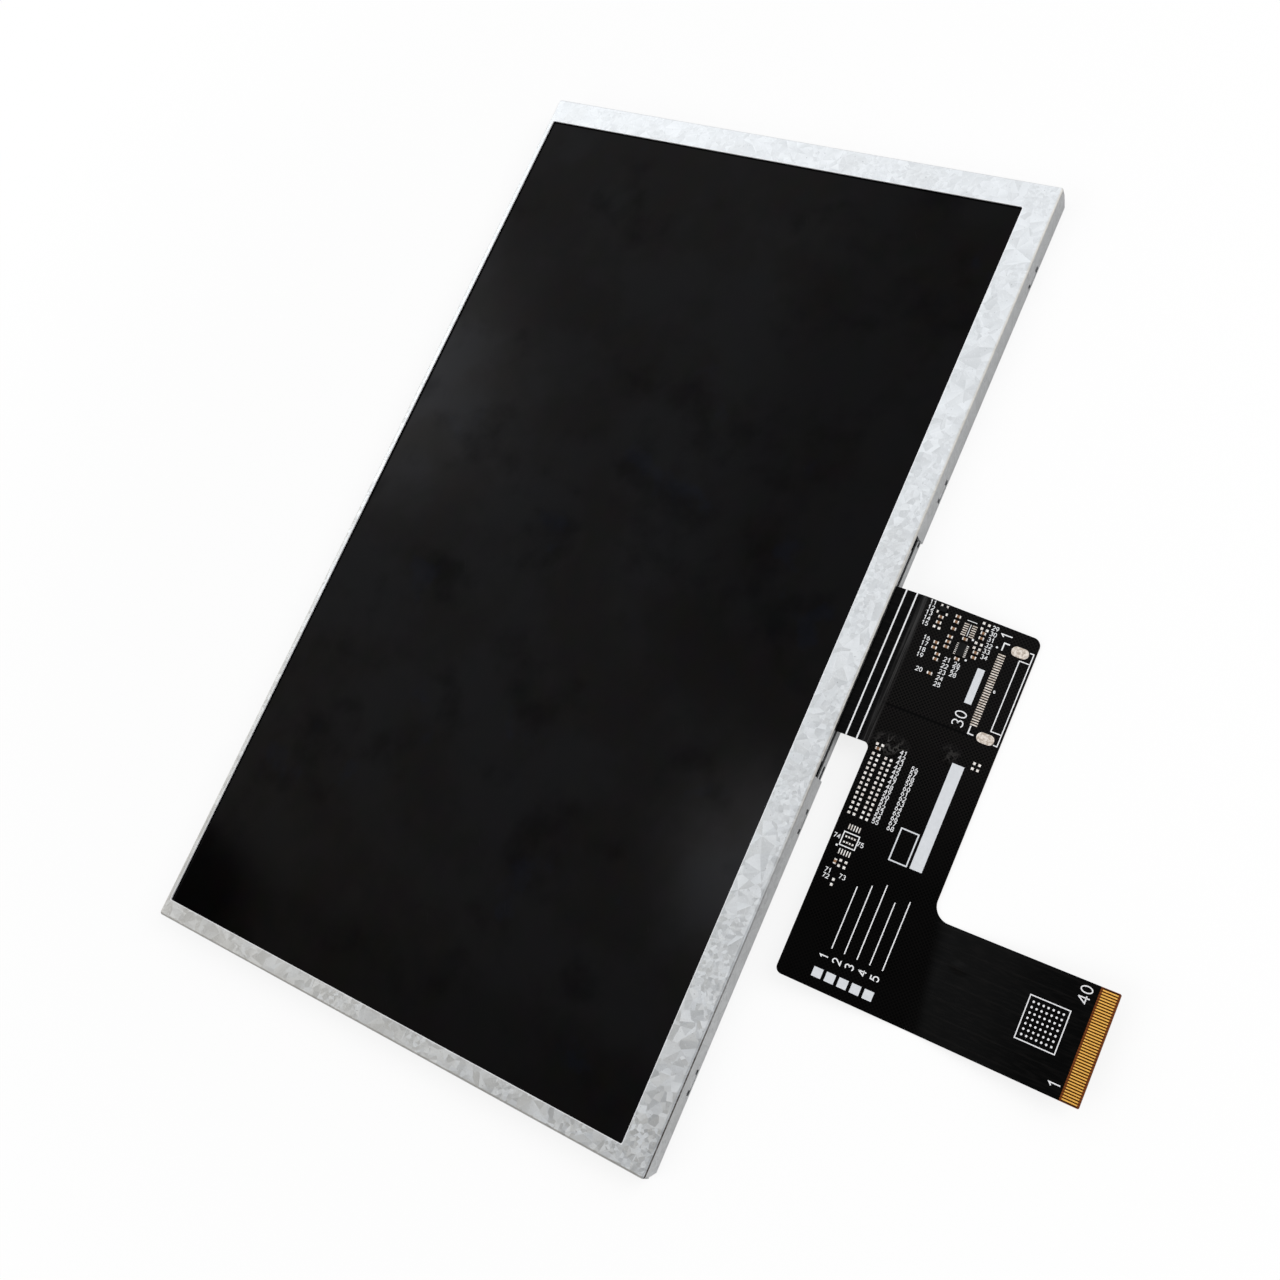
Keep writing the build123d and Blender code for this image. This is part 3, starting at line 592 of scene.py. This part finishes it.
def dull_finish(name, dark, light, roughness, grain, depth, specular):
    """Moulded, printed or fired surface with a fine grain and a slow change of tone."""
    f = Finish(name, Specular_IOR_Level=specular)
    f.set(Base_Color=f.mix(f.noise(grain * 8, 3), dark, light))
    f.set(Roughness=f.uneven(grain * 3, 2, roughness - 0.06, roughness + 0.06))
    f.set(Normal=f.bump(f.noise(grain, 3), depth))
    return f.material


def ribbed_finish(name, across):
    """Prism sheet: fine straight ribs."""
    f = Finish(name, Specular_IOR_Level=0.5)
    ribs = f.lines(0.15, f.mm, across)
    f.set(Base_Color=f.mix(ribs, (0.62, 0.65, 0.68), (0.8, 0.82, 0.84)))
    f.set(Roughness=f.uneven(8, 2, 0.2, 0.32), Normal=f.bump(ribs, 0.02))
    return f.material


def glass_finish(name):
    """Display glass, dark behind its layers, with a green cast."""
    f = Finish(name, Specular_IOR_Level=0.5)
    f.set(Base_Color=f.mix(f.noise(30, 2), (0.02, 0.028, 0.026), (0.03, 0.042, 0.038)))
    f.set(Roughness=f.uneven(12, 2, 0.05, 0.12))
    return f.material


def guide_finish(name):
    """Clear acrylic guide with fine dots on its back."""
    f = Finish(name, Specular_IOR_Level=0.5)
    dots = f.spread(f.cells(0.8, output="Distance"), 0.2, 0.3, 1, 0)
    f.set(Base_Color=f.mix(dots, (0.68, 0.73, 0.74), (0.88, 0.9, 0.9)))
    f.set(Roughness=f.uneven(15, 2, 0.1, 0.18), Normal=f.bump(dots, 0.01))
    return f.material


# Dull finishes: dark tone, light tone, roughness, size and depth of the grain, and specular level.
dull_recipes = {
    "black_moulding": ((0.006, 0.006, 0.007), (0.014, 0.014, 0.015), 0.55, 0.4, 0.01, 0.15),
    "dark_film": ((0.05, 0.054, 0.06), (0.07, 0.075, 0.08), 0.3, 0.5, 0.002, 0.4),
    "driver_silicon": ((0.03, 0.03, 0.036), (0.06, 0.06, 0.07), 0.2, 0.3, 0.002, 0.4),
    "black_tape": ((0.012, 0.012, 0.012), (0.025, 0.025, 0.025), 0.7, 0.2, 0.008, 0.4),
    "diffuser_film": ((0.8, 0.81, 0.81), (0.88, 0.89, 0.89), 0.6, 0.15, 0.005, 0.4),
    "reflector_film": ((0.86, 0.86, 0.86), (0.93, 0.93, 0.93), 0.25, 0.5, 0.003, 0.4),
    "strip_film": ((0.7, 0.7, 0.68), (0.84, 0.84, 0.82), 0.5, 0.3, 0.005, 0.4),
    "lamp_body": ((0.74, 0.62, 0.25), (0.88, 0.82, 0.5), 0.5, 0.2, 0.006, 0.4),
    "ceramic_chip": ((0.14, 0.065, 0.028), (0.32, 0.17, 0.085), 0.5, 0.12, 0.008, 0.4),
    "package_resin": ((0.003, 0.003, 0.003), (0.009, 0.009, 0.009), 0.5, 0.1, 0.008, 0.12),
    "white_print": ((0.74, 0.75, 0.77), (0.9, 0.9, 0.91), 0.6, 0.12, 0.006, 0.3),
    "field_print": ((0.6, 0.62, 0.65), (0.72, 0.74, 0.77), 0.6, 0.12, 0.006, 0.3),
}
dull = {name: dull_finish(name, *recipe) for name, recipe in dull_recipes.items()}
ink = dull["white_print"]
field = dull["field_print"]

# Dark and light tone of tin, on the large lands and the connector row, and on small lands and part ends.
dull_tin = ((0.5, 0.42, 0.35), (0.84, 0.77, 0.7))
bright_tin = ((0.66, 0.6, 0.55), (0.97, 0.95, 0.92))

zinc = zinc_finish("zinc_steel")
glass = glass_finish("display_glass")
black = film_finish("black_film")
amber = core_finish("amber_film")
large_tin = tin_finish("tinned_land", *dull_tin)
row_tin = tin_finish("row_land", *dull_tin, land_start)
small_tin = tin_finish("bright_tin", *bright_tin)

# The finish of each node.
finishes = {
    "front_bezel": zinc,
    "rear_cover": zinc,
    "moulded_frame": dull["black_moulding"],
    "front_polarizer": screen_finish("screen_film"),
    "filter_glass": glass,
    "array_glass": glass,
    "rear_polarizer": dull["dark_film"],
    "source_drivers": dull["driver_silicon"],
    "gate_driver": dull["driver_silicon"],
    "rim_tape": dull["black_tape"],
    "upper_diffuser": dull["diffuser_film"],
    "upper_prism": ribbed_finish("upper_prism_film", "X"),
    "lower_prism": ribbed_finish("lower_prism_film", "Y"),
    "lower_diffuser": dull["diffuser_film"],
    "light_guide": guide_finish("guide_acrylic"),
    "reflector": dull["reflector_film"],
    "lamp_strip": dull["strip_film"],
    "lamps": dull["lamp_body"],
    "flex_core": amber,
    "flex_upper_cover": black,
    "flex_lower_cover": black,
    "finger_stiffener": amber,
    "contact_fingers": gilt_finish("gilt_contact"),
    "connector_lands": row_tin,
    "anchor_lands": large_tin,
    "square_lands": small_tin,
    "memory_lands": small_tin,
    "converter_lands": large_tin,
    "chip_parts": dull["ceramic_chip"],
    "chip_ends": small_tin,
    "small_packages": dull["package_resin"],
    "package_leads": small_tin,
}
for name, material in finishes.items():
    mesh = nodes[name].data
    mesh.materials.clear()
    mesh.materials.append(material)


def bow(x, y, wide, high, start, end, steps=12):
    """Points along an arc between two angles in degrees."""
    angles = [radians(start + (end - start) * i / steps) for i in range(steps + 1)]
    return [(x + wide * cos(a), y + high * sin(a)) for a in angles]


# Pen strokes of plain digits, in a field about 0.6 wide and 1 high.
digit_strokes = {
    "0": [bow(0.3, 0.5, 0.28, 0.5, 90, 450, 20)],
    "1": [[(0.1, 0.76), (0.34, 1), (0.34, 0)]],
    "2": [bow(0.3, 0.71, 0.28, 0.29, 165, -38) + [(0.02, 0), (0.6, 0)]],
    "3": [bow(0.28, 0.75, 0.26, 0.25, 150, -90), bow(0.28, 0.25, 0.3, 0.25, 90, -150)],
    "4": [[(0.46, 0), (0.46, 1)], [(0.46, 1), (0.02, 0.3), (0.64, 0.3)]],
    "5": [[(0.54, 1), (0.1, 1), (0.06, 0.58)] + bow(0.27, 0.33, 0.3, 0.33, 125, -150)],
    "6": [bow(0.3, 0.3, 0.28, 0.3, 90, 450), bow(0.62, 0.3, 0.6, 0.7, 180, 112, 6)],
    "7": [[(0.02, 1), (0.58, 1), (0.2, 0)]],
    "8": [bow(0.3, 0.76, 0.24, 0.24, 90, 450), bow(0.3, 0.26, 0.29, 0.26, 90, 450)],
    "9": [bow(0.3, 0.7, 0.28, 0.3, 90, 450), bow(-0.02, 0.7, 0.6, 0.7, 0, -68, 6)],
}


def film_planes():
    """The cover film's largest faces on its neck, body and tail, as places and normals."""
    lean_step = 0.15
    facing_up = 0.9
    largest = {}
    for face in nodes["flex_upper_cover"].data.polygons:
        lean = round(face.normal.y / lean_step)
        if face.normal.z > facing_up and face.area > largest.get(lean, (0,))[0]:
            largest[lean] = (face.area, face.center.copy(), face.normal.copy())
    return [largest[lean][1:] for lean in (0, -1, 1)]


neck, body, tail = film_planes()


class Print:
    """White print on the film, gathered as thin closed prisms. Places are plan X and Y in millimetres."""

    def __init__(self):
        self.points = []
        self.faces = []

    def spot(self, plane, x, y, height):
        """Point above the film."""
        point, normal = plane
        z = point.z - (y * MM - point.y) * normal.y / normal.z
        return Vector((x * MM, y * MM, z)) + normal * height * MM

    def patch(self, plane, outline):
        """Filled shape with a convex outline, counter-clockwise."""
        start = len(self.points)
        count = len(outline)
        for height in (0, ink_height):
            self.points += [self.spot(plane, x, y, height) for x, y in outline]
        self.faces.append([start + count + i for i in range(count)])
        self.faces.append([start + i for i in reversed(range(count))])
        for i in range(count):
            after = (i + 1) % count
            self.faces.append([start + i, start + after, start + count + after, start + count + i])

    def box(self, plane, x0, x1, y0, y1):
        """Filled rectangle."""
        self.patch(plane, [(x0, y0), (x1, y0), (x1, y1), (x0, y1)])

    def dot(self, plane, x, y):
        """Filled round dot."""
        self.patch(plane, bow(x, y, mark_dot / 2, mark_dot / 2, 0, 360, 16)[:-1])

    def stroke(self, plane, path, width):
        """Line of one width along a path, mitred at corners. A path that ends where it starts is a ring."""
        spots = [Vector(p) for p in path]
        ring = (spots[0] - spots[-1]).length < width / 100
        if ring:
            spots.pop()
        runs = [(b - a).normalized() for a, b in zip(spots, spots[1:] + spots[:1])]
        if not ring:
            runs[-1] = runs[-2]
        start = len(self.points)
        for i, spot in enumerate(spots):
            bend = runs[i] + (runs[i - 1] if ring or i else runs[i])
            side = Vector((-bend.y, bend.x)) * width / bend.length_squared
            left, right = spot + side, spot - side
            for place, height in ((left, 0), (left, ink_height), (right, ink_height), (right, 0)):
                self.points.append(self.spot(plane, *place, height))
        count = len(spots)
        for i in range(count if ring else count - 1):
            a = start + 4 * i
            b = start + 4 * ((i + 1) % count)
            self.faces += [[a + k, b + k, b + (k + 3) % 4, a + (k + 3) % 4] for k in range(4)]
        if not ring:
            last = start + 4 * (count - 1)
            self.faces.append([start, start + 3, start + 2, start + 1])
            self.faces.append([last, last + 1, last + 2, last + 3])

    def frame(self, plane, x0, x1, y0, y1, width):
        """Rectangle drawn as a line."""
        self.stroke(plane, [(x0, y0), (x1, y0), (x1, y1), (x0, y1), (x0, y0)], width)

    def number(self, plane, value, x, y, height, width, turn=0):
        """Plain number centred on a place, read along X and turned in degrees."""
        text = str(value)
        along = Vector((cos(radians(turn)), sin(radians(turn)))) * height
        up = Vector((-along.y, along.x))
        length = digit_advance * (len(text) - 1) + digit_width
        first = Vector((x, y)) - up / 2 - along * length / 2
        for i, digit in enumerate(text):
            corner = first + along * digit_advance * i
            for path in digit_strokes[digit]:
                self.stroke(plane, [corner + along * a + up * b for a, b in path], width)

    def piece(self, name, material):
        """The gathered prisms as one piece of the object."""
        mesh = bpy.data.meshes.new(name)
        mesh.from_pydata(self.points, [], self.faces)
        mesh.materials.append(material)
        made = bpy.data.objects.new(name, mesh)
        bpy.context.scene.collection.objects.link(made)
        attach(made, "root")


def neck_print():
    """Two lines across the neck, from edge to edge."""
    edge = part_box("front_bezel")[0].y
    across = [v.co.x / MM for v in nodes["flex_upper_cover"].data.vertices if v.co.y > edge]
    made = Print()
    for reach in neck_line_reaches:
        y = edge / MM - reach
        made.stroke(neck, [(min(across), y), (max(across), y)], bold_line)
    made.piece("neck_lines", ink)


def connector_print():
    """Outline, corner marks and dot of the connector footprint."""
    made = Print()
    top = land_high.y - mark_drop
    for end, way, past in ((land_high.x, 1, mark_past_high), (land_low.x, -1, mark_past_low)):
        corner = end + way * past
        path = [(corner, top - mark_tall), (corner, top), (corner - way * mark_wide, top)]
        made.stroke(body, path, plain_line)
    near = land_row - outline_near
    far = land_row - outline_far
    left, right = land_low.x + outline_inset, land_high.x
    made.stroke(body, [(right, far), (right, near), (left, near), (left, far)], fine_line)
    left, right = land_low.x - outline_past, land_high.x + outline_past
    ends = far + outline_end
    made.stroke(body, [(right, ends), (right, far), (left, far), (left, ends)], fine_line)
    made.dot(body, land_middle, land_row - row_dot_drop)
    made.piece("connector_print", ink)


def pin_print():
    """Plain numbers at the ends of the connector row and of the finger row."""
    made = Print()
    for plane, value, x, y in (
        (body, 1, land_high.x + 3.7, land_row + 0.45),
        (body, land_count, land_low.x + 0.3, land_row + 2.85),
        (tail, finger_count, finger_high.x - 2.0, finger_high.y + 2.5),
        (tail, 1, finger_low.x + 1.85, finger_high.y + 1.95),
    ):
        made.number(plane, value, x, y, pin_digit, pin_line)
    made.piece("pin_numbers", ink)


def label_print():
    """Blank fields."""
    made = Print()
    made.box(body, *row_field)
    made.box(body, *wide_field)
    made.frame(body, *open_field, plain_line)
    made.piece("label_fields", field)


def option_print():
    """Numbered check squares, each with a write-in line."""
    made = Print()
    squares = Print()
    half = option_square / 2
    for i in range(option_count):
        y = option_top - option_step * i
        squares.box(body, option_square_x, option_square_x + option_square, y - half, y + half)
        made.number(body, i + 1, option_number_x, y, option_digit, pin_line)
        line_y = y - option_line_drop
        line_end = option_line_ends[i % len(option_line_ends)]
        made.stroke(body, [(option_line_x, line_y), (line_end, line_y)], fine_line)
    squares.piece("option_squares", field)
    made.piece("option_print", ink)


def code_print():
    """Thin square frame on the tail, with a regular grid of dots."""
    made = Print()
    made.frame(tail, *code_frame, fine_line)
    x0, x1, y0, y1 = code_frame
    for i in range(code_dots):
        for j in range(code_dots):
            x = x0 + (x1 - x0) * (i + 1) / (code_dots + 1)
            y = y0 + (y1 - y0) * (j + 1) / (code_dots + 1)
            made.dot(tail, x, y)
    made.piece("code_field", ink)


def part_print():
    """Small plain part numbers and the outlines of chips."""
    made = Print()
    for x, y, step, count, first in number_runs:
        for i in range(count):
            made.number(body, first + i, x + i * step, y, part_digit, part_line, -90)
    low, high = in_mm("memory_lands")
    middle = (low.x + high.x) / 2
    left, right = middle - memory_half, middle + memory_half
    made.frame(body, left, right, low.y - memory_past, high.y + memory_past, fine_line)
    made.dot(body, middle + memory_dot[0], high.y + memory_dot[1])
    low, high = in_mm("converter_lands")
    middle = (low.y + high.y) / 2
    made.stroke(body, [(low.x, middle), (high.x, middle)], part_line)
    made.stroke(body, part_mark, part_line)
    for x, y in part_dots:
        made.dot(body, x, y)
    made.piece("part_print", ink)


neck_print()
connector_print()
pin_print()
label_print()
option_print()
code_print()
part_print()


def build_camera():
    """Camera at the photograph's place and angle."""
    data = bpy.data.cameras.new("camera")
    data.lens = camera_lens
    data.shift_x, data.shift_y = camera_shift
    data.clip_start = camera_near * MM
    camera = bpy.data.objects.new("camera", data)
    camera.location = Vector(camera_place) * MM
    camera.rotation_euler = Euler([radians(a) for a in camera_turn])
    bpy.context.scene.collection.objects.link(camera)
    bpy.context.scene.camera = camera


def build_floor():
    """Wide pale floor that is white to the camera and keeps the object's shadow."""
    half = floor_half * MM
    mesh = bpy.data.meshes.new("floor")
    corners = [(-half, -half, 0), (half, -half, 0), (half, half, 0), (-half, half, 0)]
    mesh.from_pydata(corners, [], [(0, 1, 2, 3)])
    floor = bpy.data.objects.new("floor", mesh)
    floor.location.z = -floor_drop * MM
    bpy.context.scene.collection.objects.link(floor)
    f = Finish("floor", Roughness=1.0, Specular_IOR_Level=0.0)
    seen = f.path("Is Camera Ray")
    f.set(Base_Color=f.mix(seen, floor_tone, floor_white))
    glow = f.tree.nodes.new("ShaderNodeEmission").outputs[0]
    shown = f.product(seen, f.spread(f.apart(f.mm, glow_middle), *glow_reach, *glow_share))
    gleam = f.product(f.mirrored(), f.spread(f.part(f.mm, "X"), *gleam_reach, *gleam_share))
    surface = f.blend(f.sums("ADD", shown, gleam), f.shader.outputs[0], glow)
    f.join(f.tree.nodes["Material Output"].inputs["Surface"], surface)
    mesh.materials.append(f.material)


def build_world():
    """White studio: plain to the camera, and in reflections brighter toward +X and +Y, with soft panels."""
    world = bpy.data.worlds.new("studio")
    bpy.context.scene.world = world
    world.use_nodes = True
    w = Nodes(world.node_tree)
    way = w.place("Generated")
    x = w.part(way, "X")
    y = w.part(way, "Y")
    level = w.sums("ADD", w.product(x, studio_rise), studio_level)
    level = w.sums("MINIMUM", w.sums("MAXIMUM", level, studio_least), studio_most)
    behind = w.product(w.sums("MAXIMUM", y, back_start), back_rise)
    level = w.product(level, w.sums("ADD", behind, back_level))
    for panel_x, panel_y, wide, high, gain, soft in studio_panels:
        away = w.apart(way, (panel_x, panel_y, 0), (1 / wide, 1 / high, 0))
        level = w.product(level, w.spread(away, 1 - soft, 1, 1 + gain, 1))
    tone = w.mix(w.spread(w.sums("SUBTRACT", y, x), *warm_reach, 0, 1), cool_white, warm_white)
    shades = []
    for colour, strength in ((white, ambient_level), (tone, level), (white, 1.0)):
        node = w.tree.nodes.new("ShaderNodeBackground")
        w.join(node.inputs["Color"], colour)
        w.join(node.inputs["Strength"], strength)
        shades.append(node.outputs[0])
    ambient, studio, plain = shades
    surface = w.blend(w.path("Is Camera Ray"), w.blend(w.mirrored(), ambient, studio), plain)
    w.join(w.tree.nodes["World Output"].inputs["Surface"], surface)


def build_lamp(name, place, size, power):
    """Soft square lamp that faces the object."""
    data = bpy.data.lights.new(name, "AREA")
    data.size = size
    data.energy = power
    lamp = bpy.data.objects.new(name, data)
    lamp.location = place
    lamp.rotation_euler = (-Vector(place)).to_track_quat("-Z", "Y").to_euler()
    lamp.visible_glossy = False
    bpy.context.scene.collection.objects.link(lamp)


build_camera()
build_floor()
build_world()
for lamp in studio_lamps:
    build_lamp(*lamp)
bpy.context.scene.view_settings.view_transform = "Standard"
